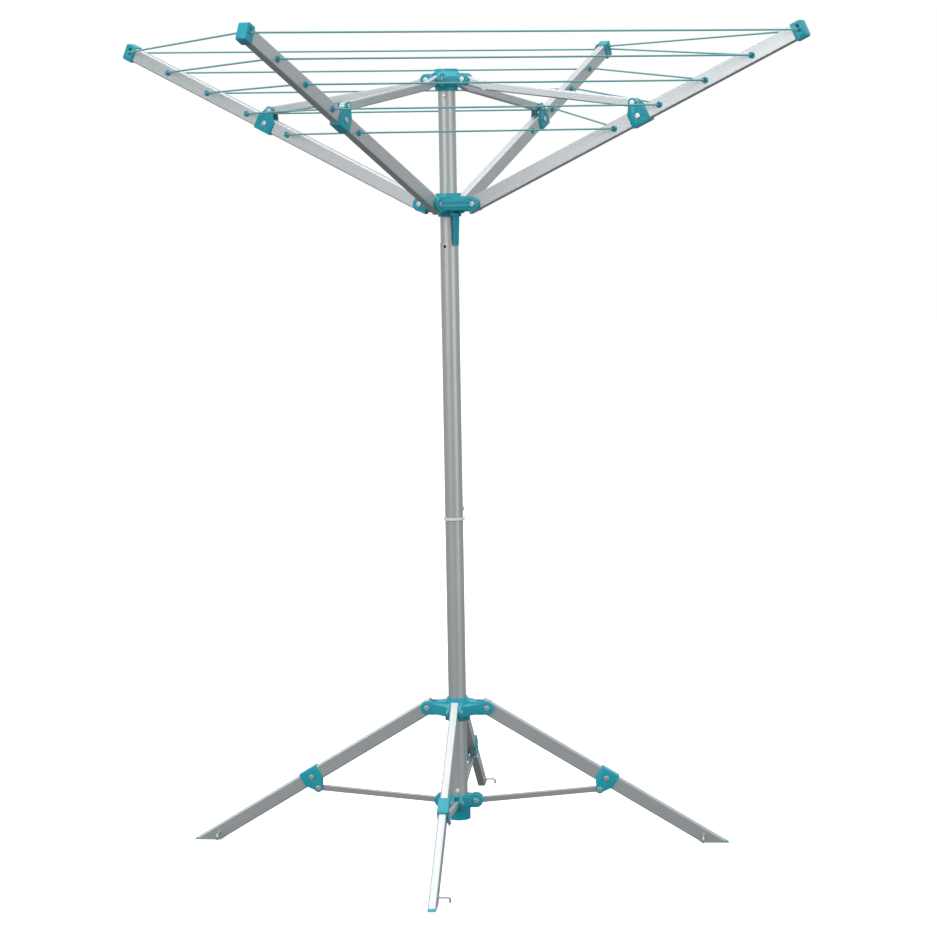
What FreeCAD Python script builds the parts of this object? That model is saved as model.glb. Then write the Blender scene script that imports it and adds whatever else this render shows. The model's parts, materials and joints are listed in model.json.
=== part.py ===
import FreeCAD, Part
import math
import os

os.makedirs("parts", exist_ok=True)

# Rotary clothesline: a folding canopy of four arms turns on top of a mast that
# stands on four folding legs. Millimetres, +Z up, mast axis on the Z axis, feet on Z = 0.

# ---- mast ----
MAST_DIAMETER = 32.0
MAST_WALL = 1.5
UPPER_WALL = 0.8            # wall of the middle tube, the top tube fits inside it
SWIVEL_Z = 585.0            # top end of the standing tube, where the canopy turns
SWIVEL_GAP = 0.5
FLANGE_THICKNESS = 4.5
FLANGE_OVERHANG = 3.0
SPIGOT_LENGTH = 80.0
SPIGOT_CLEARANCE = 0.06
PLUG_LENGTH = 9.0
TUBE_JOINT_DROP = 68.5      # upper end of the middle tube below the open runner
TUBE_OVERLAP = 60.0
DIMPLE_RADIUS = 2.6
DIMPLE_AZIMUTH = 240.0
DIMPLE_DROP = 6.0
MAST_SCREW_RADIUS = 2.6
MAST_SCREW_DROP = 29.0
MAST_SCREW_AZIMUTH = 255.0

# ---- canopy linkage ----
ARM_AZIMUTHS = {"right": -28.0, "back": 62.0, "left": 152.0, "front": 242.0}
ARM_SLOPE = 24.9            # degrees above level when open
ARM_PIVOT_REACH = 37.0      # arm pivot beyond the mast surface
ARM_PIVOT_Z = 1148.5
ARM_HEIGHT = 26.0
ARM_WIDTH = 14.0
TUBE_WALL = 1.3
TUBE_CORNER = 2.2
ARM_TAIL = 14.0             # arm beyond its pivot
ARM_LENGTH = 672.5          # pivot to the outermost line hole
LINE_PITCH = 92.9           # along the arm
LINE_ROWS = 5
STRUT_PIN_ALONG = 351.2
STRUT_PIN_GAP = 11.3        # strut pin above the top face of the arm
STRUT_PIVOT_REACH = 20.0    # strut pivot beyond the mast surface
STRUT_PIVOT_RISE = 217.5    # strut pivot above the arm pivot when open
STRUT_HEIGHT = 15.0
STRUT_WIDTH = 10.0
STRUT_KINK_ALONG = 42.0
STRUT_KINK_DROP = 6.0

# ---- leg linkage ----
LEG_AZIMUTHS = {"right": -5.8, "back": 84.2, "left": 174.2, "front": 264.2}
LEG_SLOPE = 31.0            # degrees below level when open
LEG_PIVOT_REACH = 38.0
LEG_PIVOT_Z = 245.2
LEG_HEIGHT = 25.0
LEG_WIDTH = 14.0
LEG_TAIL = 13.0
STAY_PIN_ALONG = 249.0
STAY_PIN_GAP = 11.0         # stay pin below the bottom face of the leg
STAY_PIVOT_REACH = 16.0
STAY_PIVOT_Z = 75.0
STAY_HEIGHT = 10.0
STAY_WIDTH = 8.0
STAY_WALL = 1.0
FOOT_CAP_LENGTH = 7.0
FOOT_TONGUE = 12.0
PEG_WIRE_RADIUS = 1.8
PEG_INSET = 46.0            # peg hole back from the foot tip
PEG_REACH = 20.0
PEG_HOOK = 9.0
PEG_SIDES = {"right": -1.0, "back": -1.0, "left": 1.0, "front": 1.0}

# ---- saddles that carry the strut and stay pins ----
SADDLE_PLATE = 2.4
SADDLE_HALF_LENGTH = 18.0
SADDLE_NOSE = 8.5
SADDLE_SHOULDER = 4.0
STAY_SADDLE_NOSE = 7.5

# ---- hubs ----
BORE_CLEARANCE = 0.45
SLOT_CLEARANCE = 0.5
END_CLEARANCE = 1.0
EAR = 5.0
RUNNER_SLEEVE = 6.0         # sleeve wall beyond the bore
RUNNER_TOP = 19.0
RUNNER_BOTTOM = 13.0
RUNNER_EAR_RADIUS = 12.5
COLLAR_WALL = 2.4
RUNNER_COLLAR = 9.0
RIB_HEIGHT = 2.4
RIB_DEPTH = 0.9
RIB_LEVELS = (3.2, -4.6)
WEB_GAP = 0.6               # webs between the ears end this far inside the rivet heads
RUNNER_WEB_HALF = 9.5
LEG_HUB_WEB_HALF = 9.0
BASE_HUB_WEB_HALF = 8.0
TOP_HUB_BRIM = 3.0          # half height of the top hub's outer edge
TOP_HUB_SKIRT = 14.0        # underside of the hub narrows to the sleeve over this height
TOP_HUB_WALL = 5.0
TOP_HUB_TOP = 15.0
TOP_HUB_BOTTOM = 19.0
TOP_HUB_EAR_UP = 10.0
TOP_HUB_EAR_DOWN = 10.0
TOP_HUB_EAR_RADIUS = 11.0
TOP_HUB_CAP = 4.0
LEG_HUB_TOP = 14.0
LEG_HUB_BOTTOM = 22.0
LEG_HUB_EAR_RADIUS = 12.0
LEG_HUB_COLLAR = 5.0
BASE_HUB_TOP = 11.0
BASE_HUB_BOTTOM = 30.0
BASE_HUB_WALL = 4.5
BASE_HUB_EAR_RADIUS = 12.0
BASE_HUB_FLOOR = 4.0
BASE_HUB_EAR_DOWN = 12.0

# ---- rivets ----
RIVET_RADIUS = 3.0
RIVET_HEAD_RADIUS = 5.0
RIVET_HEAD = 1.8
PIN_CLEARANCE = 0.06
STUB_GAP = 0.6              # open pivots: each half rivet stops this far short of the slot

# ---- spring buttons ----
BUTTON_RADIUS = 4.5
BUTTON_CLEARANCE = 0.5
BUTTON_PROUD = 2.6
BUTTON_DEPTH = 6.0
BUTTON_FILLET = 2.0
CANOPY_BUTTON_RISE = 17.0   # above the flange ring
CANOPY_BUTTON_AZIMUTH = 0.0
BASE_BUTTON_RISE = 9.0      # above the base hub
BASE_BUTTON_AZIMUTH = 262.0

# ---- latch lever under the runner ----
LEVER_AZIMUTH = -58.0
LEVER_LENGTH = 55.0
LEVER_TOP_WIDTH = 13.0
LEVER_TIP_WIDTH = 8.6
LEVER_THICKNESS = 3.5
LEVER_PIN_RADIUS = 1.6
LEVER_PIN_DROP = 18.0
LEVER_MAST_GAP = 1.2
LEVER_LUG = 2.4
LEVER_SIDE_GAP = 0.4
LEVER_EYE = 3.6

# ---- arm ends, line guides and line ----
CAP_WALL = 2.0
CAP_SOCKET = 7.0            # how far the arm tube enters its end cap
CAP_LENGTH = 21.0
CAP_ROUND = 4.0
GUIDE_FLANGE_RADIUS = 5.6
GUIDE_FLANGE = 1.6
GUIDE_SLEEVE = 1.0
LINE_DIAMETER = 3.2
LINE_HOLE_CLEARANCE = 1.0
LINE_BEND = 8.0
LINE_HOLE_WALL = 1.4        # between the two line holes of an end cap
KNOT_RADIUS = 4.2

UP = FreeCAD.Vector(0, 0, 1)
ACROSS = FreeCAD.Vector(0, 1, 0)
ORIGIN = FreeCAD.Vector(0, 0, 0)

strut_pivot_z = ARM_PIVOT_Z + STRUT_PIVOT_RISE
strut_pin_lift = ARM_HEIGHT / 2 + STRUT_PIN_GAP
stay_pin_drop = LEG_HEIGHT / 2 + STAY_PIN_GAP
tube_joint_z = ARM_PIVOT_Z - TUBE_JOINT_DROP
mast_radius = MAST_DIAMETER / 2
top_tube_radius = mast_radius - UPPER_WALL
bore_radius = mast_radius + BORE_CLEARANCE
flange_top_z = SWIVEL_Z + SWIVEL_GAP + FLANGE_THICKNESS
arm_pivot = FreeCAD.Vector(mast_radius + ARM_PIVOT_REACH, 0, ARM_PIVOT_Z)
strut_pivot = FreeCAD.Vector(mast_radius + STRUT_PIVOT_REACH, 0, strut_pivot_z)
leg_pivot = FreeCAD.Vector(mast_radius + LEG_PIVOT_REACH, 0, LEG_PIVOT_Z)
stay_pivot = FreeCAD.Vector(mast_radius + STAY_PIVOT_REACH, 0, STAY_PIVOT_Z)
line_radius = LINE_DIAMETER / 2
line_hole_radius = line_radius + LINE_HOLE_CLEARANCE
line_start_lift = 2 * line_hole_radius + LINE_HOLE_WALL
canopy_button_z = flange_top_z + CANOPY_BUTTON_RISE
base_button_z = STAY_PIVOT_Z + BASE_HUB_TOP + BASE_BUTTON_RISE
base_z0 = STAY_PIVOT_Z - BASE_HUB_BOTTOM
base_z1 = STAY_PIVOT_Z + BASE_HUB_TOP
pin_hole_radius = RIVET_RADIUS + PIN_CLEARANCE
web_setback = RIVET_HEAD_RADIUS + WEB_GAP


def vector(x, y, z):
    return FreeCAD.Vector(x, y, z)


def export(name, shape):
    shape.exportStep("parts/" + name + ".step")


def block(x0, x1, width, z0, z1):
    """Box centred on Y between two X and two Z values."""
    return Part.makeBox(x1 - x0, width, z1 - z0, vector(x0, -width / 2, z0))


def upright(radius, z0, z1):
    return Part.makeCylinder(radius, z1 - z0, vector(0, 0, z0), UP)


def pipe(outer, inner, z0, z1):
    return upright(outer, z0, z1).cut(upright(inner, z0, z1))


def cross_pin(radius, x, z, y0, y1):
    """Cylinder along Y between y0 and y1."""
    return Part.makeCylinder(radius, y1 - y0, vector(x, y0, z), ACROSS)


def radial_pin(radius, x, z, length):
    """Cylinder along X that starts at x."""
    return Part.makeCylinder(radius, length, vector(x, 0, z), vector(1, 0, 0))


def prism(points, width):
    """Outline in the XZ plane, extruded symmetrically along Y."""
    corners = [vector(x, -width / 2, z) for x, z in points]
    face = Part.Face(Part.makePolygon(corners + corners[:1]))
    return face.extrude(vector(0, width, 0))


def long_edges(solid):
    """Edges of a box that run along X."""
    return [e for e in solid.Edges if abs(e.Vertexes[0].X - e.Vertexes[-1].X) > 1.0]


def bar(x0, x1, height, width, corner):
    solid = block(x0, x1, width, -height / 2, height / 2)
    return solid.makeFillet(corner, long_edges(solid))


def hollow_bar(x0, x1, height, width, wall, corner):
    outer = bar(x0, x1, height, width, corner)
    return outer.cut(bar(x0, x1, height - 2 * wall, width - 2 * wall, corner - wall / 2))


def swing(shape, pivot, angle):
    """Tilt a shape drawn along +X by angle degrees above level and put its origin on pivot."""
    moved = shape.copy()
    moved.rotate(ORIGIN, ACROSS, -angle)
    moved.translate(pivot)
    return moved


def turn(shape, azimuth):
    moved = shape.copy()
    moved.rotate(ORIGIN, UP, azimuth)
    return moved


def union(shapes):
    return shapes[0].fuse(list(shapes[1:])).removeSplitter()


def around(shape, azimuths):
    return [turn(shape, azimuth) for azimuth in azimuths.values()]


def rivet(x, z, half_grip, radius=RIVET_RADIUS):
    """Rivet across the plates, with a low head on each side."""
    reach = half_grip + RIVET_HEAD
    shank = cross_pin(radius, x, z, -half_grip, half_grip)
    near = cross_pin(RIVET_HEAD_RADIUS, x, z, -reach, -half_grip)
    far = cross_pin(RIVET_HEAD_RADIUS, x, z, half_grip, reach)
    near = near.makeFillet(RIVET_HEAD / 2, [outer_rim(near, -reach)])
    far = far.makeFillet(RIVET_HEAD / 2, [outer_rim(far, reach)])
    return union([shank, near, far])


def outer_rim(solid, y):
    rims = [e for e in solid.Edges if e.isClosed()]
    return min(rims, key=lambda e: abs(e.BoundBox.Center.y - y))


def stub_rivets(x, z, half_slot, half_grip):
    """Two half rivets, one in each ear, that leave the slot between them free."""
    whole = rivet(x, z, half_grip)
    gap = block(x - RIVET_HEAD_RADIUS, x + RIVET_HEAD_RADIUS, 2 * (half_slot + STUB_GAP),
                z - RIVET_HEAD_RADIUS, z + RIVET_HEAD_RADIUS)
    return whole.cut(gap)


def clevis(pivot, ear_radius, slot_width, floor_x, z0, z1):
    """Solid lug with a rounded nose; the slot is cut by clevis_slot."""
    width = slot_width + 2 * EAR
    lug = block(0, pivot.x, width, z0, z1)
    nose = cross_pin(ear_radius, pivot.x, pivot.z, -width / 2, width / 2)
    cheek = block(floor_x, pivot.x, width, pivot.z - ear_radius, pivot.z + ear_radius)
    return union([lug, cheek, nose])


def clevis_slot(pivot, ear_radius, slot_width, floor_x, z0, z1):
    slot = block(floor_x, pivot.x + 2 * ear_radius, slot_width, z0, z1)
    hole = cross_pin(RIVET_RADIUS, pivot.x, pivot.z, -slot_width / 2 - 2 * EAR, slot_width / 2 + 2 * EAR)
    return slot.fuse(hole)


def web(azimuths, reach, width, z0, z1):
    """Eight-sided plate that joins the lugs: one flat between each pair of neighbours."""
    corners = []
    for azimuth in sorted(azimuths.values()):
        turned = FreeCAD.Rotation(UP, azimuth)
        for side in (-1, 1):
            corners.append(turned.multVec(vector(reach, side * width / 2, z0)))
    face = Part.Face(Part.makePolygon(corners + corners[:1]))
    return face.extrude(vector(0, 0, z1 - z0))


def hub(azimuths, pivot, ear_radius, slot_width, floor_x, core, core_z):
    """Core with one clevis per azimuth; core_z is the height span of the lugs."""
    z0 = min(core_z[0], pivot.z - ear_radius)
    z1 = max(core_z[1], pivot.z + ear_radius)
    lug = clevis(pivot, ear_radius, slot_width, floor_x, core_z[0], core_z[1])
    cutter = clevis_slot(pivot, ear_radius, slot_width, floor_x, z0 - 1, z1 + 1)
    body = union(core + around(lug, azimuths))
    return body.cut(around(cutter, azimuths))


# ---- swept radii that set the slot floors ----
arm_sweep = math.hypot(ARM_TAIL, ARM_HEIGHT / 2)
leg_sweep = math.hypot(LEG_TAIL, LEG_HEIGHT / 2)
strut_sweep = STRUT_HEIGHT / 2
stay_sweep = STAY_HEIGHT / 2
arm_slot = ARM_WIDTH + 2 * SLOT_CLEARANCE
leg_slot = LEG_WIDTH + 2 * SLOT_CLEARANCE
strut_slot = STRUT_WIDTH + 2 * SLOT_CLEARANCE
stay_slot = STAY_WIDTH + 2 * SLOT_CLEARANCE

# ---- mast ----
button_hole_radius = BUTTON_RADIUS + BUTTON_CLEARANCE
base_button_hole = radial_pin(button_hole_radius, 0, base_button_z, MAST_DIAMETER)
base_button_hole = turn(base_button_hole, BASE_BUTTON_AZIMUTH)
mast_lower = pipe(mast_radius, mast_radius - MAST_WALL, base_z0, SWIVEL_Z).cut(base_button_hole)
export("mast_lower", mast_lower)

spigot_radius = mast_radius - MAST_WALL - SPIGOT_CLEARANCE
flange = upright(mast_radius + FLANGE_OVERHANG, SWIVEL_Z + SWIVEL_GAP, flange_top_z)
rims = [e for e in flange.Edges if e.isClosed()]
flange = flange.makeFillet(FLANGE_THICKNESS / 4, rims)
spigot = upright(spigot_radius, SWIVEL_Z - SPIGOT_LENGTH, flange_top_z)
plug = upright(top_tube_radius, flange_top_z, flange_top_z + PLUG_LENGTH)
core_bore = upright(spigot_radius - 2 * MAST_WALL, SWIVEL_Z - SPIGOT_LENGTH, flange_top_z + PLUG_LENGTH)
export("mast_bearing", union([flange, spigot, plug]).cut(core_bore))

canopy_button_hole = radial_pin(button_hole_radius, 0, canopy_button_z, MAST_DIAMETER)
canopy_button_hole = turn(canopy_button_hole, CANOPY_BUTTON_AZIMUTH)
dimple = turn(radial_pin(DIMPLE_RADIUS, 0, tube_joint_z - DIMPLE_DROP, MAST_DIAMETER), DIMPLE_AZIMUTH)
mast_middle = pipe(mast_radius, top_tube_radius, flange_top_z, tube_joint_z)
export("mast_middle", mast_middle.cut([canopy_button_hole, dimple]))

screw_z = strut_pivot_z - MAST_SCREW_DROP
screw_hole = turn(radial_pin(MAST_SCREW_RADIUS / 2, 0, screw_z, MAST_DIAMETER), MAST_SCREW_AZIMUTH)
mast_top = pipe(top_tube_radius, top_tube_radius - MAST_WALL, tube_joint_z - TUBE_OVERLAP,
                strut_pivot_z + TOP_HUB_TOP)
export("mast_top", mast_top.cut([dimple, screw_hole]))


def spring_button(azimuth, z):
    length = BUTTON_DEPTH + BUTTON_PROUD
    pin = radial_pin(BUTTON_RADIUS, mast_radius - BUTTON_DEPTH, z, length)
    rims = [e for e in pin.Edges if e.isClosed()]
    crown = max(rims, key=lambda e: e.BoundBox.Center.x)
    return turn(pin.makeFillet(BUTTON_FILLET, [crown]), azimuth)


export("mast_button", spring_button(CANOPY_BUTTON_AZIMUTH, canopy_button_z))
export("base_button", spring_button(BASE_BUTTON_AZIMUTH, base_button_z))

# ---- top hub ----
top_hub_radius = top_tube_radius + TOP_HUB_WALL
top_z0 = strut_pivot_z - TOP_HUB_BOTTOM
top_z1 = strut_pivot_z + TOP_HUB_TOP
strut_floor = strut_pivot.x - strut_sweep - END_CLEARANCE
strut_lug = strut_slot + 2 * EAR
top_web = web(ARM_AZIMUTHS, strut_pivot.x - web_setback, strut_lug, strut_pivot_z - TOP_HUB_SKIRT, top_z1)
brim_radius = math.hypot(strut_pivot.x - web_setback, strut_lug / 2)
brim_z0 = strut_pivot_z - TOP_HUB_BRIM
brim_z1 = strut_pivot_z + TOP_HUB_BRIM
roof = Part.makeCone(brim_radius, top_hub_radius, top_z1 - brim_z1, vector(0, 0, brim_z1), UP)
skirt = Part.makeCone(top_hub_radius, brim_radius, TOP_HUB_SKIRT - TOP_HUB_BRIM,
                      vector(0, 0, strut_pivot_z - TOP_HUB_SKIRT), UP)
lens = union([roof, upright(brim_radius, brim_z0, brim_z1), skirt])
top_core = [upright(top_hub_radius, top_z0, top_z1 + TOP_HUB_CAP), top_web.common(lens)]
top_hub = hub(ARM_AZIMUTHS, strut_pivot, TOP_HUB_EAR_RADIUS, strut_slot, strut_floor, top_core,
              (strut_pivot_z - TOP_HUB_EAR_DOWN, strut_pivot_z + TOP_HUB_EAR_UP))
export("top_hub", top_hub.cut(upright(top_tube_radius, top_z0, top_z1)))

mast_screw = radial_pin(MAST_SCREW_RADIUS / 2, top_tube_radius - MAST_WALL, screw_z, MAST_WALL)
screw_head = radial_pin(MAST_SCREW_RADIUS, top_tube_radius - MAST_WALL / 4, screw_z, MAST_WALL)
tube_at_screw = upright(top_tube_radius, screw_z - MAST_SCREW_RADIUS, screw_z + MAST_SCREW_RADIUS)
screw_head = screw_head.cut(tube_at_screw)
mast_screw = turn(union([mast_screw, screw_head]), MAST_SCREW_AZIMUTH)
top_rivet = rivet(strut_pivot.x, strut_pivot.z, strut_slot / 2 + EAR)
export("top_hub_rivets", Part.makeCompound(around(top_rivet, ARM_AZIMUTHS) + [mast_screw]))

# ---- runner: slides on the mast and carries the arm pivots ----
runner_radius = bore_radius + RUNNER_SLEEVE
runner_z0 = ARM_PIVOT_Z - RUNNER_BOTTOM
runner_z1 = ARM_PIVOT_Z + RUNNER_TOP
collar_z0 = runner_z0 - RUNNER_COLLAR
arm_floor = arm_pivot.x - arm_sweep - END_CLEARANCE
collar_radius = bore_radius + COLLAR_WALL
runner_core = [upright(runner_radius, runner_z0, runner_z1), upright(collar_radius, collar_z0, runner_z0)]
arm_lug = arm_slot + 2 * EAR
runner_reach = arm_pivot.x - web_setback - RIB_DEPTH
runner_core.append(web(ARM_AZIMUTHS, runner_reach, arm_lug, ARM_PIVOT_Z - RUNNER_WEB_HALF,
                       ARM_PIVOT_Z + RUNNER_WEB_HALF))
for level in RIB_LEVELS:
    rib_z0 = ARM_PIVOT_Z + level
    runner_core.append(web(ARM_AZIMUTHS, runner_reach + RIB_DEPTH, arm_lug, rib_z0, rib_z0 + RIB_HEIGHT))

# The lever hangs on a cross pin between two lugs under the runner.
lever_x = mast_radius + LEVER_MAST_GAP + COLLAR_WALL + LEVER_THICKNESS
lever_pin_z = ARM_PIVOT_Z - LEVER_PIN_DROP
lug_inner = LEVER_TOP_WIDTH / 2 + LEVER_SIDE_GAP
lug_outer = lug_inner + LEVER_LUG
lugs = block(bore_radius + COLLAR_WALL / 2, lever_x + LEVER_EYE, 2 * lug_outer, lever_pin_z - LEVER_EYE,
             runner_z0)
lug_gap = block(collar_radius, lever_x + 2 * LEVER_EYE, 2 * lug_inner, lever_pin_z - 2 * LEVER_EYE, runner_z0)
lug_hole = cross_pin(LEVER_PIN_RADIUS, lever_x, lever_pin_z, -lug_outer, lug_outer)
lugs = turn(lugs.cut([lug_gap, lug_hole]), LEVER_AZIMUTH)
runner_hub = hub(ARM_AZIMUTHS, arm_pivot, RUNNER_EAR_RADIUS, arm_slot, arm_floor, runner_core + [lugs],
                 (runner_z0, ARM_PIVOT_Z + RUNNER_BOTTOM))
export("runner_hub", runner_hub.cut(upright(bore_radius, collar_z0, runner_z1)))

arm_stub = stub_rivets(arm_pivot.x, arm_pivot.z, arm_slot / 2, arm_slot / 2 + EAR)
lever_pin = turn(cross_pin(LEVER_PIN_RADIUS, lever_x, lever_pin_z, -lug_outer, lug_outer), LEVER_AZIMUTH)
export("runner_rivets", Part.makeCompound(around(arm_stub, ARM_AZIMUTHS) + [lever_pin]))

lever_root = lever_x - LEVER_THICKNESS / 2
lever_tip_z = lever_pin_z - LEVER_LENGTH
lever_half = LEVER_TOP_WIDTH / 2
tip_half = LEVER_TIP_WIDTH / 2
corners = [vector(lever_root, -lever_half, lever_pin_z), vector(lever_root, lever_half, lever_pin_z),
           vector(lever_root, tip_half, lever_tip_z), vector(lever_root, -tip_half, lever_tip_z)]
lever_plate = Part.Face(Part.makePolygon(corners + corners[:1])).extrude(vector(LEVER_THICKNESS, 0, 0))
lever_eye = cross_pin(LEVER_EYE - LEVER_SIDE_GAP, lever_x, lever_pin_z, -lever_half, lever_half)
lever_hole_radius = LEVER_PIN_RADIUS + PIN_CLEARANCE
lever_hole = cross_pin(lever_hole_radius, lever_x, lever_pin_z, -LEVER_TOP_WIDTH, LEVER_TOP_WIDTH)
export("latch_lever", turn(union([lever_plate, lever_eye]).cut(lever_hole), LEVER_AZIMUTH))

# ---- leg hub: slides on the standing tube ----
leg_hub_radius = bore_radius + RUNNER_SLEEVE
leg_z0 = LEG_PIVOT_Z - LEG_HUB_BOTTOM
leg_z1 = LEG_PIVOT_Z + LEG_HUB_TOP
leg_floor = leg_pivot.x - leg_sweep - END_CLEARANCE
leg_core = [upright(leg_hub_radius, leg_z0, leg_z1),
            upright(collar_radius, leg_z1, leg_z1 + LEG_HUB_COLLAR),
            web(LEG_AZIMUTHS, leg_pivot.x - web_setback, leg_slot + 2 * EAR,
                LEG_PIVOT_Z - LEG_HUB_WEB_HALF, LEG_PIVOT_Z + LEG_HUB_WEB_HALF)]
leg_hub = hub(LEG_AZIMUTHS, leg_pivot, LEG_HUB_EAR_RADIUS, leg_slot, leg_floor, leg_core,
              (LEG_PIVOT_Z - LEG_HUB_EAR_RADIUS, LEG_PIVOT_Z + LEG_HUB_EAR_RADIUS))
export("leg_hub", leg_hub.cut(upright(bore_radius, leg_z0, leg_z1 + LEG_HUB_COLLAR)))
leg_stub = stub_rivets(leg_pivot.x, leg_pivot.z, leg_slot / 2, leg_slot / 2 + EAR)
export("leg_hub_rivets", Part.makeCompound(around(leg_stub, LEG_AZIMUTHS)))

# ---- base hub: closed at the bottom, fixed to the mast ----
base_floor = stay_pivot.x - stay_sweep - END_CLEARANCE
base_core = [upright(mast_radius + BASE_HUB_WALL, base_z0 - BASE_HUB_FLOOR, base_z1),
             web(LEG_AZIMUTHS, stay_pivot.x - web_setback, stay_slot + 2 * EAR,
                 STAY_PIVOT_Z - BASE_HUB_WEB_HALF, STAY_PIVOT_Z + BASE_HUB_WEB_HALF)]
base_hub = hub(LEG_AZIMUTHS, stay_pivot, BASE_HUB_EAR_RADIUS, stay_slot, base_floor, base_core,
               (STAY_PIVOT_Z - BASE_HUB_EAR_DOWN, base_z1))
export("base_hub", base_hub.cut(upright(mast_radius, base_z0, base_z1)))
stay_rivet = rivet(stay_pivot.x, stay_pivot.z, stay_slot / 2 + EAR)
export("base_hub_rivets", Part.makeCompound(around(stay_rivet, LEG_AZIMUTHS)))

# ---- canopy arms ----
arm_end = ARM_LENGTH - line_hole_radius - CAP_WALL
guide_stations = [ARM_LENGTH - row * LINE_PITCH for row in range(1, LINE_ROWS)]
arm_tube = hollow_bar(-ARM_TAIL, arm_end, ARM_HEIGHT, ARM_WIDTH, TUBE_WALL, TUBE_CORNER)
sleeve_radius = line_hole_radius + GUIDE_SLEEVE
arm_cuts = [cross_pin(pin_hole_radius, 0, 0, -ARM_WIDTH, ARM_WIDTH),
            cross_pin(RIVET_RADIUS, STRUT_PIN_ALONG, 0, -ARM_WIDTH, ARM_WIDTH)]
for station in guide_stations:
    arm_cuts.append(cross_pin(sleeve_radius, station, 0, -ARM_WIDTH, ARM_WIDTH))
arm_tube = arm_tube.cut(arm_cuts)

cap_height = ARM_HEIGHT + 2 * CAP_WALL
cap_width = ARM_WIDTH + 2 * CAP_WALL
cap_start = arm_end - CAP_SOCKET
cap = block(cap_start, cap_start + CAP_LENGTH, cap_width, -cap_height / 2, cap_height / 2)
end_edges = [e for e in cap.Edges if min(v.X for v in e.Vertexes) > cap_start + CAP_LENGTH / 2]
end_edges = [e for e in end_edges if abs(e.Vertexes[0].Y - e.Vertexes[-1].Y) > 1.0]
cap = cap.makeFillet(CAP_ROUND, end_edges)
cap = cap.cut([bar(cap_start, arm_end, ARM_HEIGHT, ARM_WIDTH, TUBE_CORNER),
               cross_pin(line_hole_radius, ARM_LENGTH, 0, -cap_width, cap_width),
               cross_pin(line_hole_radius, ARM_LENGTH, line_start_lift, -cap_width, cap_width)])


def guide(station):
    """Bush through the tube with a flange on each face and a bore for the line."""
    half = ARM_WIDTH / 2
    sleeve = cross_pin(sleeve_radius, station, 0, -half, half)
    near = cross_pin(GUIDE_FLANGE_RADIUS, station, 0, -half - GUIDE_FLANGE, -half)
    far = cross_pin(GUIDE_FLANGE_RADIUS, station, 0, half, half + GUIDE_FLANGE)
    bore = cross_pin(line_hole_radius, station, 0, -2 * half, 2 * half)
    return union([sleeve, near, far]).cut(bore)


guides = Part.makeCompound([guide(station) for station in guide_stations])


def saddle(height, width, along, lift, nose_radius):
    """U-shaped saddle: web against the far side of the tube, cheeks out to the pin."""
    base = -height / 2 - SADDLE_PLATE
    shoulder = height / 2 - SADDLE_SHOULDER
    outline = [(along - SADDLE_HALF_LENGTH, base), (along + SADDLE_HALF_LENGTH, base),
               (along + SADDLE_HALF_LENGTH, shoulder), (along + nose_radius, lift),
               (along - nose_radius, lift), (along - SADDLE_HALF_LENGTH, shoulder)]
    outer = width + 2 * SADDLE_PLATE
    cheeks = union([prism(outline, outer), cross_pin(nose_radius, along, lift, -outer / 2, outer / 2)])
    reach = SADDLE_HALF_LENGTH + SADDLE_PLATE
    channel = block(along - reach, along + reach, width, -height / 2, lift + 2 * nose_radius)
    holes = [cross_pin(RIVET_RADIUS, along, z, -outer, outer) for z in (0, lift)]
    return cheeks.cut([channel] + holes)


arm_saddle = saddle(ARM_HEIGHT, ARM_WIDTH, STRUT_PIN_ALONG, strut_pin_lift, SADDLE_NOSE)
saddle_grip = ARM_WIDTH / 2 + SADDLE_PLATE
arm_rivets = Part.makeCompound([rivet(STRUT_PIN_ALONG, 0, saddle_grip),
                                rivet(STRUT_PIN_ALONG, strut_pin_lift, saddle_grip)])

# ---- struts: from the top hub to the arm saddles ----
slope = math.radians(ARM_SLOPE)
pin_x = arm_pivot.x + STRUT_PIN_ALONG * math.cos(slope) - strut_pin_lift * math.sin(slope)
pin_z = arm_pivot.z + STRUT_PIN_ALONG * math.sin(slope) + strut_pin_lift * math.cos(slope)
strut_length = math.hypot(pin_x - strut_pivot.x, pin_z - strut_pivot.z)
strut_angle = math.degrees(math.atan2(pin_z - strut_pivot.z, pin_x - strut_pivot.x))


def kinked_bar(height, width, corner, length, kink_along, kink_drop):
    """Bar between two pins that dips by kink_drop a short way out from its first pin."""
    first = bar(0, math.hypot(kink_along, kink_drop), height, width, corner)
    second = bar(0, math.hypot(length - kink_along, kink_drop), height, width, corner)
    first = swing(first, ORIGIN, -math.degrees(math.atan2(kink_drop, kink_along)))
    rise = math.degrees(math.atan2(kink_drop, length - kink_along))
    second = swing(second, vector(kink_along, 0, -kink_drop), rise)
    ends = [cross_pin(height / 2, x, 0, -width / 2, width / 2) for x in (0, length)]
    knee = cross_pin(height / 2, kink_along, -kink_drop, -width / 2, width / 2)
    return union([first, second, knee] + ends)


strut = kinked_bar(STRUT_HEIGHT, STRUT_WIDTH, TUBE_CORNER, strut_length, STRUT_KINK_ALONG, STRUT_KINK_DROP)
core_height = STRUT_HEIGHT - 2 * TUBE_WALL
core_width = STRUT_WIDTH - 2 * TUBE_WALL
strut_core = kinked_bar(core_height, core_width, TUBE_CORNER - TUBE_WALL / 2, strut_length, STRUT_KINK_ALONG,
                        STRUT_KINK_DROP)
strut_holes = [cross_pin(pin_hole_radius, x, 0, -STRUT_WIDTH, STRUT_WIDTH) for x in (0, strut_length)]
strut = strut.cut([strut_core] + strut_holes)

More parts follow.
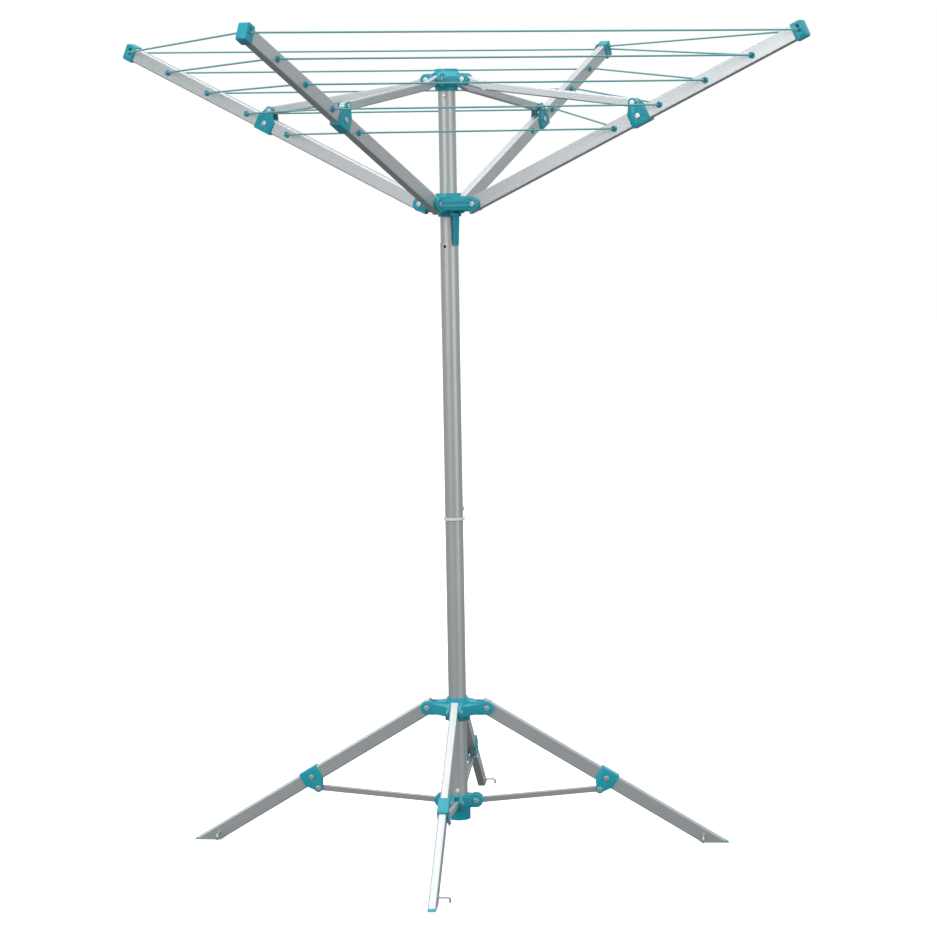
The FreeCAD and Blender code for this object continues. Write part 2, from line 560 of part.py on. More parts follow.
# ---- legs, drawn like arms that slope down; the saddle sits on top ----
leg_slope = math.radians(LEG_SLOPE)
foot_along = LEG_PIVOT_Z / math.sin(leg_slope) + LEG_HEIGHT / 2 / math.tan(leg_slope)
foot_x = leg_pivot.x + LEG_PIVOT_Z / math.tan(leg_slope) + LEG_HEIGHT / 2 / math.sin(leg_slope)
leg_reach = foot_along + LEG_HEIGHT
leg_outer = bar(-LEG_TAIL, leg_reach, LEG_HEIGHT, LEG_WIDTH, TUBE_CORNER)
leg_inner = bar(-LEG_TAIL, leg_reach, LEG_HEIGHT - 2 * TUBE_WALL, LEG_WIDTH - 2 * TUBE_WALL,
                TUBE_CORNER - TUBE_WALL / 2)
peg_along = foot_along - PEG_INSET
leg_holes = [cross_pin(pin_hole_radius, 0, 0, -LEG_WIDTH, LEG_WIDTH),
             cross_pin(RIVET_RADIUS, STAY_PIN_ALONG, 0, -LEG_WIDTH, LEG_WIDTH),
             cross_pin(PEG_WIRE_RADIUS, peg_along, 0, -LEG_WIDTH, LEG_WIDTH)]
ground_half = foot_x + LEG_HEIGHT
ground = block(-ground_half, ground_half, 4 * LEG_WIDTH, -ground_half, 0)
cap_x = foot_x - FOOT_CAP_LENGTH
beyond = block(cap_x, ground_half, 4 * LEG_WIDTH, -ground_half, ground_half)
inboard = block(-ground_half, cap_x, 4 * LEG_WIDTH, -ground_half, ground_half)
inboard_tongue = block(-ground_half, cap_x - FOOT_TONGUE, 4 * LEG_WIDTH, -ground_half, ground_half)
leg_tube = swing(leg_outer.cut([leg_inner] + leg_holes), leg_pivot, -LEG_SLOPE).cut([ground, beyond])
foot_tip = swing(leg_outer, leg_pivot, -LEG_SLOPE).cut([ground, inboard])
foot_tongue = swing(leg_inner, leg_pivot, -LEG_SLOPE).cut([ground, inboard_tongue, beyond])
foot = union([foot_tip, foot_tongue])

# The saddle is drawn with its pin above the tube, so it is turned over for the legs.
leg_saddle = saddle(LEG_HEIGHT, LEG_WIDTH, STAY_PIN_ALONG, stay_pin_drop, STAY_SADDLE_NOSE)
leg_saddle.rotate(ORIGIN, vector(1, 0, 0), 180)
leg_saddle = swing(leg_saddle, leg_pivot, -LEG_SLOPE)
leg_grip = LEG_WIDTH / 2 + SADDLE_PLATE
leg_rivets = [swing(rivet(STAY_PIN_ALONG, z, leg_grip), leg_pivot, -LEG_SLOPE) for z in (0, -stay_pin_drop)]


def ground_peg(side):
    """Bent wire through the leg: a cross bar with a hook turned down at its free end."""
    tail = LEG_WIDTH / 2 + PEG_WIRE_RADIUS
    bend = 2 * PEG_WIRE_RADIUS
    reach = LEG_WIDTH / 2 + PEG_REACH
    start = vector(0, -side * tail, 0)
    knee_in = vector(0, side * (reach - bend), 0)
    half_turn = bend * math.sin(math.pi / 4)
    middle = vector(0, side * (reach - bend + half_turn), half_turn - bend)
    knee_out = vector(0, side * reach, -bend)
    tip = vector(0, side * reach, -PEG_HOOK)
    path = Part.Wire([Part.makeLine(start, knee_in), Part.Arc(knee_in, middle, knee_out).toShape(),
                      Part.makeLine(knee_out, tip)])
    ring = Part.Wire([Part.makeCircle(PEG_WIRE_RADIUS, start, vector(0, side, 0))])
    return path.makePipeShell([ring], True, False)


peg_x = leg_pivot.x + peg_along * math.cos(leg_slope)
peg_z = leg_pivot.z - peg_along * math.sin(leg_slope)
peg_point = vector(peg_x, 0, peg_z)
pegs = {}
for name, side in PEG_SIDES.items():
    peg = ground_peg(side)
    peg.translate(peg_point)
    pegs[name] = peg

# ---- stays: from the base hub to the leg saddles ----
stay_pin_x = leg_pivot.x + STAY_PIN_ALONG * math.cos(leg_slope) - stay_pin_drop * math.sin(leg_slope)
stay_pin_z = leg_pivot.z - STAY_PIN_ALONG * math.sin(leg_slope) - stay_pin_drop * math.cos(leg_slope)
stay_length = math.hypot(stay_pin_x - stay_pivot.x, stay_pin_z - stay_pivot.z)
stay_angle = math.degrees(math.atan2(stay_pin_z - stay_pivot.z, stay_pin_x - stay_pivot.x))


def round_ended(height, width, corner, length):
    ends = [cross_pin(height / 2, x, 0, -width / 2, width / 2) for x in (0, length)]
    return union([bar(0, length, height, width, corner)] + ends)


stay = round_ended(STAY_HEIGHT, STAY_WIDTH, TUBE_CORNER / 2, stay_length)
stay_core = bar(RIVET_HEAD_RADIUS, stay_length - RIVET_HEAD_RADIUS, STAY_HEIGHT - 2 * STAY_WALL,
                STAY_WIDTH - 2 * STAY_WALL, TUBE_CORNER / 4)
stay_holes = [cross_pin(pin_hole_radius, x, 0, -STAY_WIDTH, STAY_WIDTH) for x in (0, stay_length)]
stay = stay.cut([stay_core] + stay_holes)

for name, azimuth in ARM_AZIMUTHS.items():
    export("arm_tube_" + name, turn(swing(arm_tube, arm_pivot, ARM_SLOPE), azimuth))
    export("arm_cap_" + name, turn(swing(cap, arm_pivot, ARM_SLOPE), azimuth))
    export("line_guides_" + name, turn(swing(guides, arm_pivot, ARM_SLOPE), azimuth))
    export("arm_saddle_" + name, turn(swing(arm_saddle, arm_pivot, ARM_SLOPE), azimuth))
    export("arm_rivets_" + name, turn(swing(arm_rivets, arm_pivot, ARM_SLOPE), azimuth))
    export("strut_" + name, turn(swing(strut, strut_pivot, strut_angle), azimuth))

for name, azimuth in LEG_AZIMUTHS.items():
    export("leg_tube_" + name, turn(leg_tube, azimuth))
    export("leg_foot_" + name, turn(foot, azimuth))
    export("leg_saddle_" + name, turn(leg_saddle, azimuth))
    export("leg_rivets_" + name, Part.makeCompound([turn(r, azimuth) for r in leg_rivets + [pegs[name]]]))
    export("stay_" + name, turn(swing(stay, stay_pivot, stay_angle), azimuth))

# ---- clothesline: one length of cord, wound row by row from the arm tips inwards ----
# It enters and leaves every arm straight through its guide and turns outside the flanges.
line_exit = ARM_WIDTH / 2 + CAP_WALL + 2 * GUIDE_FLANGE + LINE_BEND * math.tan(math.pi / 8)


def line_point(name, row, side, lift=0.0):
    """Corner of the line beside an arm; side +1 is the counter-clockwise face."""
    along = ARM_LENGTH - row * LINE_PITCH
    local = vector(along * math.cos(slope) - lift * math.sin(slope), side * line_exit,
                   along * math.sin(slope) + lift * math.cos(slope))
    point = local + arm_pivot
    return FreeCAD.Rotation(UP, ARM_AZIMUTHS[name]).multVec(point)


# The line runs clockwise seen from above: back, right, front, left, and steps in one row at the back arm.
points = [line_point("back", 0, 1, line_start_lift), line_point("back", 0, -1, line_start_lift)]
for row in range(LINE_ROWS):
    for name in ("right", "front", "left", "back"):
        if row == LINE_ROWS - 1 and name == "back":
            continue
        points.append(line_point(name, row, 1))
        points.append(line_point(name, row, -1))


def rounded_path(corners, bend):
    """Straight runs joined by tangent arcs of one radius; returns the wire and its length."""
    edges = []
    here = corners[0]
    length = 0.0
    for before, corner, after in zip(corners, corners[1:], corners[2:]):
        into = (corner - before).normalize()
        out = (after - corner).normalize()
        angle = into.getAngle(out)
        trim = bend * math.tan(angle / 2)
        start = corner - into * trim
        finish = corner + out * trim
        inward = (out - into).normalize()
        middle = corner + inward * (bend / math.cos(angle / 2) - bend)
        edges.append(Part.makeLine(here, start))
        edges.append(Part.Arc(start, middle, finish).toShape())
        length += (start - here).Length + bend * angle
        here = finish
    edges.append(Part.makeLine(here, corners[-1]))
    length += (corners[-1] - here).Length
    return Part.Wire(edges), length


line_path, line_length = rounded_path(points, LINE_BEND)
ring = Part.Wire([Part.makeCircle(line_radius, points[0], points[1] - points[0])])
line = line_path.makePipeShell([ring], True, False)
knots = [Part.makeSphere(KNOT_RADIUS, end) for end in (points[0], points[-1])]
clothesline = union([line] + knots)
export("clothesline", clothesline)

ideal = line_length * math.pi * line_radius ** 2
print("line length", round(line_length, 1), "mm, bend radius", LINE_BEND, "mm, cord radius", line_radius)
print("line volume", round(line.Volume, 1), "of", round(ideal, 1), "mm3, valid", line.isValid())
print("strut length", round(strut_length, 2), "angle", round(strut_angle, 2))
print("stay length", round(stay_length, 2), "angle", round(stay_angle, 2), "foot radius", round(foot_x, 1))
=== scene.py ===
import json
import math

import bpy
from bpy.props import FloatProperty, FloatVectorProperty, IntProperty, PointerProperty
from mathutils import Matrix, Vector


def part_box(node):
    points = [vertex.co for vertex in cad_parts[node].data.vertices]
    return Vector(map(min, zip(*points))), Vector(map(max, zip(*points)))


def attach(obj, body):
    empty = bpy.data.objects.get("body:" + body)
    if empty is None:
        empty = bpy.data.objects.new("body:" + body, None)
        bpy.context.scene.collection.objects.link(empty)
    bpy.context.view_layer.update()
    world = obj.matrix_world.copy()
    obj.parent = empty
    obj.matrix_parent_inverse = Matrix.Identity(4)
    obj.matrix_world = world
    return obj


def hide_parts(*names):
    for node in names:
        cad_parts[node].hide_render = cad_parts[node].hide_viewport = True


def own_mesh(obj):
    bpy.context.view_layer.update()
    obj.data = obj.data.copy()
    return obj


bl_info = {
    "name": "Rotary Clothesline",
    "version": (1, 0, 0),
    "blender": (4, 5, 0),
    "location": "View3D > Sidebar > Clothesline",
    "description": "Finishes and fine parts of a folding rotary clothesline",
    "category": "Object",
}

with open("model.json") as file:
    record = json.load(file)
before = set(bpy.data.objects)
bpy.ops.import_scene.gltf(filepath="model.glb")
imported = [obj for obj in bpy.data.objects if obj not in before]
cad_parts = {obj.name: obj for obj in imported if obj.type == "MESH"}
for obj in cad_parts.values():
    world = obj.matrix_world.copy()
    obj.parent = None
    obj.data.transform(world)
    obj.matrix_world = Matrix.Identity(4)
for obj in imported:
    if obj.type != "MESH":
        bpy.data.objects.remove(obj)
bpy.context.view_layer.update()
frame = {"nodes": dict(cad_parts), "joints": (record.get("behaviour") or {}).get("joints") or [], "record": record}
NODES = frame["nodes"]
JOINTS = {joint["name"]: joint for joint in frame["joints"]}
RATIOS = {c["joint"]: c["ratio"] for c in frame["record"]["behaviour"]["couplings"]}
SIDES = ("right", "back", "left", "front")

# places on the open canopy and legs, in metres
ARM_SLOPE = math.radians(24.9)      # above level
ARM_PIVOT_REACH = 0.053             # from the mast's axis
ARM_PIVOT_HEIGHT = 1.1485
LEG_PIVOT_REACH = 0.054             # from the mast's axis
HANG_LIMIT = 0.346                  # furthest that a folded half span hangs below its ends

# rounding of copied parts
MERGE_DISTANCE = 0.00001
FLAT_ANGLE = math.radians(1.0)      # facets flatter than this become one face
EDGE_ANGLE = math.radians(32.0)     # edges sharper than this are rounded
SMOOTH_ANGLE = math.radians(40.0)
FINE_EDGE = 0.7                     # share of the moulded edge radius on small fittings
RIVET_EDGE = 0.00035
COLLAR_EDGE = 0.0006
BUTTON_EDGE = 0.0005

# finer shape of the line
BEND_TRIM = 0.42                    # share of the bend radius at which a bend leaves the straight line
SPAN_SMOOTHNESS = 6
KNOT_SMOOTHNESS = 4
KNOT_STEPS = 22
KNOT_LEAD = 0.6                     # share of the bend distance over which the line enters its knot
KNOT_LOOP = 0.00085
KNOT_DEPTH = 0.0017
KNOT_TAIL = 0.005
KNOT_TAIL_DROP = 0.004

MAST_METAL = "#D0D1D0"
ARM_METAL = "#D2D5D6"
LEG_METAL = "#CDD0D0"
STAY_METAL = "#C6C9CA"

FLOOR_RADIUS = 14.0
FLOOR_DROP = 0.0005                 # below the feet, so that the two faces don't flicker
LIGHT_TARGET = Vector((0.0, 0.0, 0.8))
LIGHTS = (("key", (-3.2, -3.8, 3.0), 3.0, 82.0),
          ("top", (0.2, 0.4, 4.6), 3.6, 70.0),
          ("fill", (3.4, -3.4, 1.4), 3.2, 26.0))


# ---- helpers ----

def linear(code):
    """sRGB hex to a linear RGBA colour."""
    parts = [int(code[i:i + 2], 16) / 255 for i in (1, 3, 5)]
    return [c / 12.92 if c <= 0.04045 else ((c + 0.055) / 1.055) ** 2.4 for c in parts] + [1.0]


def add(tree, kind, settings=None, links=None):
    """Adds one node; settings go to its sockets or properties, links come from other nodes."""
    node = tree.nodes.new(kind)
    for key, value in (settings or {}).items():
        if isinstance(key, int) or key in node.inputs:
            node.inputs[key].default_value = value
        else:
            setattr(node, key, value)
    for key, (source, output) in (links or {}).items():
        tree.links.new(source.outputs[output], node.inputs[key])
    return node


def blank(name):
    """New material with an empty node tree."""
    material = bpy.data.materials.new(name)
    material.use_nodes = True
    tree = material.node_tree
    tree.nodes.clear()
    return material, tree


def finish_with(tree, shader):
    add(tree, "ShaderNodeOutputMaterial", links={"Surface": (shader, "BSDF")})


def deselect():
    if bpy.context.object and bpy.context.object.mode != "OBJECT":
        bpy.ops.object.mode_set(mode="OBJECT")
    bpy.ops.object.select_all(action="DESELECT")


def pick(piece):
    deselect()
    piece.select_set(True)
    bpy.context.view_layer.objects.active = piece


def paint(piece, material):
    if piece.data.materials:
        piece.data.materials[0] = material
        for slot in range(1, len(piece.data.materials)):
            piece.data.materials[slot] = material
    else:
        piece.data.materials.append(material)


def body_holding(node):
    return next(b for b, members in frame["record"]["behaviour"]["bodies"].items() if node in members)


def settle(piece, body, material):
    """Puts the piece's place into its mesh, gives it its finish and its body."""
    pick(piece)
    bpy.ops.object.transform_apply(location=True, rotation=True, scale=True)
    paint(piece, material)
    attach(piece, body)
    return piece


def softened(node, material, width, segments=2):
    """Copy of a CAD node, merged, with every sharp edge rounded as its mould or tool leaves it."""
    piece = bpy.data.objects.new(node + "_finished", NODES[node].data.copy())
    bpy.context.scene.collection.objects.link(piece)
    pick(piece)
    bpy.ops.object.mode_set(mode="EDIT")
    bpy.ops.mesh.select_all(action="SELECT")
    bpy.ops.mesh.remove_doubles(threshold=MERGE_DISTANCE)
    bpy.ops.mesh.dissolve_limited(angle_limit=FLAT_ANGLE)
    bpy.ops.object.mode_set(mode="OBJECT")
    if piece.data.has_custom_normals:
        bpy.ops.mesh.customdata_custom_splitnormals_clear()
    bevel = piece.modifiers.new("edges", "BEVEL")
    bevel.limit_method = "ANGLE"
    bevel.angle_limit = EDGE_ANGLE
    bevel.width = width
    bevel.segments = segments
    bevel.use_clamp_overlap = True
    bpy.ops.object.modifier_apply(modifier=bevel.name)
    bpy.ops.object.shade_smooth_by_angle(angle=SMOOTH_ANGLE)
    settle(piece, body_holding(node), material)
    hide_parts(node)
    return piece


def turned_hinge(name, travel):
    """Matrix of a coupled hinge after the runner has moved by travel."""
    joint = JOINTS[name]
    pivot = Vector(joint["pos_m"])
    turn = Matrix.Rotation(RATIOS[name] * travel, 4, Vector(joint["axis"]))
    return Matrix.Translation(pivot) @ turn @ Matrix.Translation(-pivot)


def outward(side):
    """Level unit vector from the mast along an arm."""
    axis = JOINTS["strut_fold_" + side]["axis"]
    return Vector((axis[1], -axis[0], 0.0))


def arm_axes(side):
    """Unit vectors of an open arm: along it, square to it and upward, level across it."""
    out = outward(side)
    along = out * math.cos(ARM_SLOPE) + Vector((0, 0, math.sin(ARM_SLOPE)))
    upright = -out * math.sin(ARM_SLOPE) + Vector((0, 0, math.cos(ARM_SLOPE)))
    return along, upright, Vector((-out.y, out.x, 0.0))


def line_place(looks, side, row, edge, lift=0.0):
    """Point of the line on an arm: edge 0 is the arm's middle, -1 and 1 the bend on either side."""
    along, upright, across = arm_axes(side)
    root = outward(side) * ARM_PIVOT_REACH + Vector((0, 0, ARM_PIVOT_HEIGHT))
    return root + along * (looks.reach - row * looks.pitch) + upright * lift + across * edge * looks.exit


def laid_line(name, route, looks, smoothness, side, material):
    """Round line along its control points, on an arm."""
    curve = bpy.data.curves.new(name, "CURVE")
    curve.dimensions = "3D"
    curve.bevel_depth = looks.diameter / 2
    curve.bevel_resolution = 3
    curve.use_fill_caps = True
    spline = curve.splines.new("NURBS")
    spline.points.add(len(route) - 1)
    for point, place in zip(spline.points, route):
        point.co = (*place, 1.0)
    spline.order_u = 3
    spline.use_endpoint_u = True
    spline.resolution_u = smoothness
    rope = bpy.data.objects.new(name, curve)
    bpy.context.scene.collection.objects.link(rope)
    pick(rope)
    bpy.ops.object.convert(target="MESH")
    bpy.ops.object.shade_smooth()
    return settle(rope, "arm_" + side, material)


# ---- sizes and finishes a user would change ----

class TubeLooks(bpy.types.PropertyGroup):
    draw_pitch: FloatProperty(name="Draw line spacing", description="Spacing of the drawing lines along a tube",
                              default=0.003, min=0.0001, unit="LENGTH")
    draw_length: FloatProperty(name="Draw line length", description="Length over which a drawing line fades",
                               default=0.35, min=0.01, unit="LENGTH")
    roughness: FloatProperty(name="Roughness", description="Gloss of the satin anodised surface",
                             default=0.36, min=0.0, max=1.0, subtype="FACTOR")


class MouldedLooks(bpy.types.PropertyGroup):
    edge: FloatProperty(name="Edge radius", description="Rounding of moulded edges",
                        default=0.0007, min=0.0001, unit="LENGTH")
    grain: FloatProperty(name="Mould grain", description="Size of the fine grain left by the mould",
                         default=0.0009, min=0.0001, unit="LENGTH")
    roughness: FloatProperty(name="Roughness", description="Gloss of the moulded plastic",
                             default=0.3, min=0.0, max=1.0, subtype="FACTOR")


class LineLooks(bpy.types.PropertyGroup):
    diameter: FloatProperty(name="Line diameter", description="Diameter of the coated line",
                            default=0.0032, min=0.001, unit="LENGTH")
    pitch: FloatProperty(name="Line pitch", description="Distance between rows along an arm",
                         default=0.0929, min=0.02, unit="LENGTH")
    reach: FloatProperty(name="Arm reach", description="Arm pivot to the outermost line hole",
                         default=0.6725, min=0.2, unit="LENGTH")
    lift: FloatProperty(name="Start hole lift", description="Rise of the line's first hole over the row",
                        default=0.0066, min=0.0, unit="LENGTH")
    exit: FloatProperty(name="Bend distance", description="Arm's middle to the corner of the line's bend",
                        default=0.01551, min=0.005, unit="LENGTH")
    bend: FloatProperty(name="Bend radius", description="Radius of the line's bend beside each arm",
                        default=0.008, min=0.003, unit="LENGTH")
    rows: IntProperty(name="Rows", description="Rows of line round the canopy", default=5, min=1)
    slack_drop: FloatProperty(name="Folded drop", description="How far a folded half span hangs, as a share",
                              default=0.62, min=0.0, max=1.0, subtype="FACTOR")


class StageLooks(bpy.types.PropertyGroup):
    camera: FloatVectorProperty(name="Camera", description="Camera position", size=3,
                                default=(0.0, -5.0688, 1.2656), subtype="TRANSLATION", unit="LENGTH")
    pitch: FloatProperty(name="Pitch", description="Camera tilt below level",
                         default=math.radians(6.617), subtype="ANGLE", unit="ROTATION")
    yaw: FloatProperty(name="Yaw", description="Camera turn to the right",
                       default=math.radians(0.307), subtype="ANGLE", unit="ROTATION")
    roll: FloatProperty(name="Roll", description="Camera roll",
                        default=math.radians(-0.977), subtype="ANGLE", unit="ROTATION")
    lens: FloatProperty(name="Lens", description="Focal length in millimetres on a 36 mm sensor",
                        default=109.81, min=10.0)


# ---- materials ----

def anodised_aluminium(name, along, code, looks):
    """Drawn and satin anodised aluminium: soft grey sheen, faint lines that run along the tube.
    Real drawing lines are about 0.1 mm apart, too fine to show, so they are drawn every few millimetres."""
    material, tree = blank(name)
    turn = Vector(along).rotation_difference(Vector((1.0, 0.0, 0.0))).to_euler()
    place = add(tree, "ShaderNodeTexCoord")
    lined_up = add(tree, "ShaderNodeMapping", {"Rotation": turn}, {"Vector": (place, "Object")})
    scale = (1.0 / looks.draw_length, 1.0 / looks.draw_pitch, 1.0 / looks.draw_pitch)
    stretched = add(tree, "ShaderNodeMapping", {"Scale": scale}, {"Vector": (lined_up, "Vector")})
    lines = add(tree, "ShaderNodeTexNoise", {"Scale": 1.0, "Detail": 2.0}, {"Vector": (stretched, "Vector")})
    cloud = add(tree, "ShaderNodeTexNoise", {"Scale": 14.0, "Detail": 2.0}, {"Vector": (place, "Object")})
    gloss = add(tree, "ShaderNodeMapRange", {"To Min": looks.roughness - 0.06, "To Max": looks.roughness + 0.1},
                {"Value": (lines, "Fac")})
    base = linear(code)
    dull = [c * 0.88 for c in base[:3]] + [1.0]
    tone = add(tree, "ShaderNodeMix", {"data_type": "RGBA"}, {"Factor": (cloud, "Fac")})
    tone.inputs[6].default_value = base
    tone.inputs[7].default_value = dull
    relief = add(tree, "ShaderNodeBump", {"Strength": 0.05, "Distance": 0.0001}, {"Height": (lines, "Fac")})
    shader = add(tree, "ShaderNodeBsdfPrincipled", {"Metallic": 0.85},
                 {"Roughness": (gloss, "Result"), "Normal": (relief, "Normal")})
    tree.links.new(tone.outputs[2], shader.inputs["Base Color"])
    finish_with(tree, shader)
    return material


def moulded_plastic(name, code, shade, looks, ior=1.49):
    """Injection moulded polypropylene or acetal: even colour, soft gloss, very fine mould grain."""
    material, tree = blank(name)
    place = add(tree, "ShaderNodeTexCoord")
    grain = add(tree, "ShaderNodeTexNoise", {"Scale": 1.0 / looks.grain, "Detail": 2.0},
                {"Vector": (place, "Object")})
    flow = add(tree, "ShaderNodeTexNoise", {"Scale": 38.0, "Detail": 3.0}, {"Vector": (place, "Object")})
    tone = add(tree, "ShaderNodeMix", {"data_type": "RGBA"}, {"Factor": (flow, "Fac")})
    tone.inputs[6].default_value = linear(code)
    tone.inputs[7].default_value = linear(shade)
    gloss = add(tree, "ShaderNodeMapRange",
                {"To Min": looks.roughness - 0.05, "To Max": looks.roughness + 0.08}, {"Value": (grain, "Fac")})
    relief = add(tree, "ShaderNodeBump", {"Strength": 0.1, "Distance": 0.0001}, {"Height": (grain, "Fac")})
    shader = add(tree, "ShaderNodeBsdfPrincipled", {"IOR": ior},
                 {"Roughness": (gloss, "Result"), "Normal": (relief, "Normal")})
    tree.links.new(tone.outputs[2], shader.inputs["Base Color"])
    finish_with(tree, shader)
    return material


def zinc_plated_steel(name):
    """Cold headed, zinc plated steel: bright cool grey with a slightly mottled gloss."""
    material, tree = blank(name)
    place = add(tree, "ShaderNodeTexCoord")
    spangle = add(tree, "ShaderNodeTexNoise", {"Scale": 900.0, "Detail": 2.0}, {"Vector": (place, "Object")})
    gloss = add(tree, "ShaderNodeMapRange", {"To Min": 0.2, "To Max": 0.4}, {"Value": (spangle, "Fac")})
    relief = add(tree, "ShaderNodeBump", {"Strength": 0.08, "Distance": 0.0001}, {"Height": (spangle, "Fac")})
    shader = add(tree, "ShaderNodeBsdfPrincipled", {"Base Color": linear("#D3D8DA"), "Metallic": 1.0},
                 {"Roughness": (gloss, "Result"), "Normal": (relief, "Normal")})
    finish_with(tree, shader)
    return material


def coated_line(name):
    """Extruded PVC sheath over a fibre core: waxy grey teal, the core's strands show as faint ripples."""
    material, tree = blank(name)
    place = add(tree, "ShaderNodeTexCoord")
    strands = add(tree, "ShaderNodeTexWave", {"Scale": 150.0, "Distortion": 1.5, "Detail": 1.0},
                  {"Vector": (place, "Object")})
    flow = add(tree, "ShaderNodeTexNoise", {"Scale": 30.0, "Detail": 2.0}, {"Vector": (place, "Object")})
    tone = add(tree, "ShaderNodeMix", {"data_type": "RGBA"}, {"Factor": (flow, "Fac")})
    tone.inputs[6].default_value = linear("#4FA3A6")
    tone.inputs[7].default_value = linear("#6DB5B5")
    gloss = add(tree, "ShaderNodeMapRange", {"To Min": 0.36, "To Max": 0.5}, {"Value": (flow, "Fac")})
    relief = add(tree, "ShaderNodeBump", {"Strength": 0.15, "Distance": 0.0002}, {"Height": (strands, "Fac")})
    shader = add(tree, "ShaderNodeBsdfPrincipled", {"IOR": 1.53},
                 {"Roughness": (gloss, "Result"), "Normal": (relief, "Normal")})
    tree.links.new(tone.outputs[2], shader.inputs["Base Color"])
    finish_with(tree, shader)
    return material


def teal():
    return bpy.data.materials.get("teal_moulded_polypropylene") or moulded_plastic(
        "teal_moulded_polypropylene", "#18AABB", "#159DAE", bpy.context.scene.moulded_looks)


def steel():
    return bpy.data.materials.get("zinc_plated_steel") or zinc_plated_steel("zinc_plated_steel")


def white():
    return bpy.data.materials.get("white_moulded_acetal") or moulded_plastic(
        "white_moulded_acetal", "#E6E7E4", "#DDDFDC", bpy.context.scene.moulded_looks, 1.48)


# ---- operators ----

class CLOTHESLINE_OT_tubes(bpy.types.Operator):
    """Gives the mast, arms, legs, struts and stays their drawn aluminium"""
    bl_idname = "clothesline.tubes"
    bl_label = "Aluminium Tubes"

    def execute(self, context):
        looks = context.scene.tube_looks
        mast = anodised_aluminium("drawn_anodised_aluminium_mast", (0, 0, 1), MAST_METAL, looks)
        for node in ("mast_lower", "mast_middle", "mast_top"):
            paint(NODES[node], mast)
        for side in SIDES:
            pivot = Vector(JOINTS["strut_fold_" + side]["pos_m"])
            pin = Vector(JOINTS["arm_fold_" + side]["pos_m"])
            cap_low, cap_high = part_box("arm_cap_" + side)
            tip = (cap_low + cap_high) / 2
            hub_low, hub_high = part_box("runner_hub")
            root = outward(side) * ARM_PIVOT_REACH + Vector((0, 0, (hub_low.z + hub_high.z) / 2))
            paint(NODES["arm_tube_" + side],
                  anodised_aluminium("drawn_anodised_aluminium_arm_" + side, tip - root, ARM_METAL, looks))
            paint(NODES["strut_" + side],
                  anodised_aluminium("drawn_anodised_aluminium_strut_" + side, pin - pivot, ARM_METAL, looks))
            stay_root = Vector(JOINTS["stay_fold_" + side]["pos_m"])
            stay_pin = Vector(JOINTS["leg_fold_" + side]["pos_m"])
            foot_low, foot_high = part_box("leg_foot_" + side)
            foot = (foot_low + foot_high) / 2
            level = Vector((stay_root.x, stay_root.y, 0)).normalized()
            leg_low, leg_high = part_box("leg_hub")
            leg_root = level * LEG_PIVOT_REACH + Vector((0, 0, (leg_low.z + leg_high.z) / 2))
            paint(NODES["leg_tube_" + side],
                  anodised_aluminium("drawn_anodised_aluminium_leg_" + side, foot - leg_root, LEG_METAL, looks))
            paint(NODES["stay_" + side],
                  anodised_aluminium("drawn_anodised_aluminium_stay_" + side, stay_pin - stay_root,
                                     STAY_METAL, looks))
        return {"FINISHED"}


class CLOTHESLINE_OT_hubs(bpy.types.Operator):
    """Rounds the moulded edges of the four hubs and the latch lever"""
    bl_idname = "clothesline.hubs"
    bl_label = "Hubs and Latch"

    def execute(self, context):
        edge = context.scene.moulded_looks.edge
        for node in ("top_hub", "runner_hub", "leg_hub", "base_hub", "latch_lever"):
            softened(node, teal(), edge)
        return {"FINISHED"}


class CLOTHESLINE_OT_arm_fittings(bpy.types.Operator):
    """Rounds the end caps, saddles and line guides of the arms"""
    bl_idname = "clothesline.arm_fittings"
    bl_label = "Arm Fittings"

    def execute(self, context):
        edge = context.scene.moulded_looks.edge
        for side in SIDES:
            for part in ("arm_cap_", "arm_saddle_"):
                softened(part + side, teal(), edge)
            softened("line_guides_" + side, teal(), edge * FINE_EDGE)
        return {"FINISHED"}


class CLOTHESLINE_OT_leg_fittings(bpy.types.Operator):
    """Rounds the saddles and feet of the legs"""
    bl_idname = "clothesline.leg_fittings"
    bl_label = "Leg Fittings"

    def execute(self, context):
        edge = context.scene.moulded_looks.edge
        for side in SIDES:
            softened("leg_saddle_" + side, teal(), edge)
            softened("leg_foot_" + side, teal(), edge * FINE_EDGE)
        return {"FINISHED"}


class CLOTHESLINE_OT_rivets(bpy.types.Operator):
    """Rounds the rivet heads of the hubs, arms and legs"""
    bl_idname = "clothesline.rivets"
    bl_label = "Rivets and Pegs"

    def execute(self, context):
        names = ["top_hub_rivets", "runner_rivets", "leg_hub_rivets", "base_hub_rivets"]
        for side in SIDES:
            names += ["arm_rivets_" + side, "leg_rivets_" + side]
        for node in names:
            softened(node, steel(), RIVET_EDGE)
        return {"FINISHED"}


class CLOTHESLINE_OT_bearing(bpy.types.Operator):
    """Rounds the turning collar and the two spring buttons"""
    bl_idname = "clothesline.bearing"
    bl_label = "Bearing and Buttons"

    def execute(self, context):
        softened("mast_bearing", white(), COLLAR_EDGE)
        for node in ("mast_button", "base_button"):
            softened(node, white(), BUTTON_EDGE, 3)
        return {"FINISHED"}


